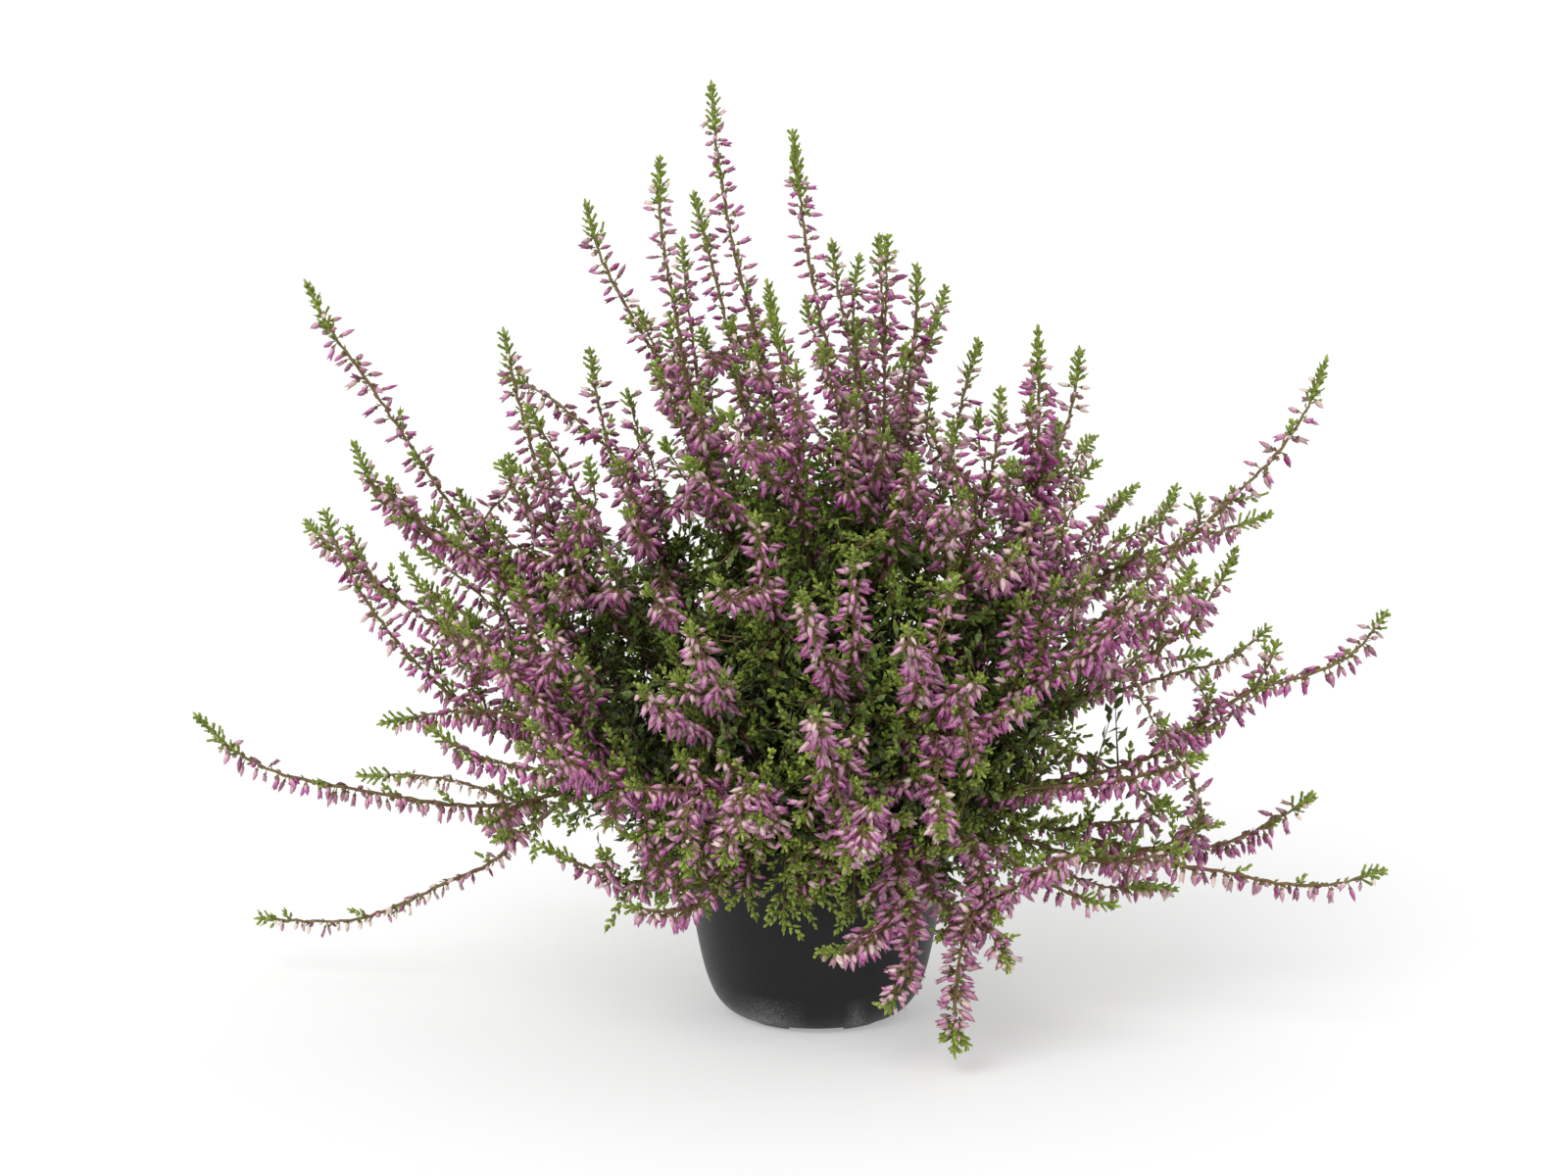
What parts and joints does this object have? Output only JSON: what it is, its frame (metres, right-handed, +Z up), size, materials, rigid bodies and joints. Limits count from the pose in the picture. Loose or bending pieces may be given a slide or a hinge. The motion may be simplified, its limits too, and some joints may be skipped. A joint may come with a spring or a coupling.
{
  "type": "potted heather",
  "caption": "Flowering heather in a black plastic nursery pot, with upright, spreading and trailing shoots of scale leaves and pink flower buds.",
  "frame": {"origin": "middle of the pot's underside, on the surface that the pot stands on", "axes": "+Z up along the pot's axis; -Y is the front, as the plant faces the viewer; +X to the viewer's right"},
  "size_m": [0.434, 0.2938, 0.344],
  "materials": {
    "black_plastic": "satin",
    "peat": "matte",
    "heather_wood": "matte",
    "heather_leaf": "matte",
    "heather_flower": "matte"
  },
  "bodies": {
    "root": {"back_1_shoot": "heather_flower", "back_2_shoot": "heather_flower", "back_3_shoot": "heather_flower", "back_4_shoot": "heather_flower", "back_5_shoot": "heather_flower", "back_6_shoot": "heather_leaf", "back_7_shoot": "heather_flower", "back_8_shoot": "heather_flower", "front_1_shoot": "heather_flower", "front_2_shoot": "heather_flower", "front_3_shoot": "heather_leaf", "front_4_shoot": "heather_flower", "front_5_shoot": "heather_flower", "front_6_shoot": "heather_flower", "front_7_shoot": "heather_flower", "front_8_shoot": "heather_flower", "front_9_shoot": "heather_flower", "left_10_shoot": "heather_flower", "left_11_shoot": "heather_flower", "left_12_shoot": "heather_flower", "left_1_shoot": "heather_flower", "left_2_shoot": "heather_flower", "left_3_shoot": "heather_flower", "left_4_shoot": "heather_flower", "left_5_shoot": "heather_flower", "left_6_shoot": "heather_flower", "left_7_shoot": "heather_leaf", "left_8_shoot": "heather_flower", "left_9_shoot": "heather_leaf", "pot": "black_plastic", "potting_soil": "peat", "right_10_shoot": "heather_flower", "right_11_shoot": "heather_flower", "right_12_shoot": "heather_flower", "right_13_shoot": "heather_flower", "right_14_shoot": "heather_flower", "right_15_shoot": "heather_flower", "right_1_shoot": "heather_flower", "right_2_shoot": "heather_flower", "right_3_shoot": "heather_flower", "right_4_shoot": "heather_flower", "right_5_shoot": "heather_flower", "right_6_shoot": "heather_flower", "right_7_shoot": "heather_flower", "right_8_shoot": "heather_flower", "right_9_shoot": "heather_flower", "root_crown": "heather_wood", "top_1_shoot": "heather_flower", "top_2_shoot": "heather_flower", "top_3_shoot": "heather_flower", "top_4_shoot": "heather_flower", "top_5_shoot": "heather_flower", "top_6_shoot": "heather_flower", "top_7_shoot": "heather_flower", "top_8_shoot": "heather_flower", "top_9_shoot": "heather_flower", "trailing_1_shoot": "heather_flower", "trailing_2_shoot": "heather_flower", "trailing_3_shoot": "heather_flower", "trailing_4_shoot": "heather_flower"}
  },
  "joints": []
}
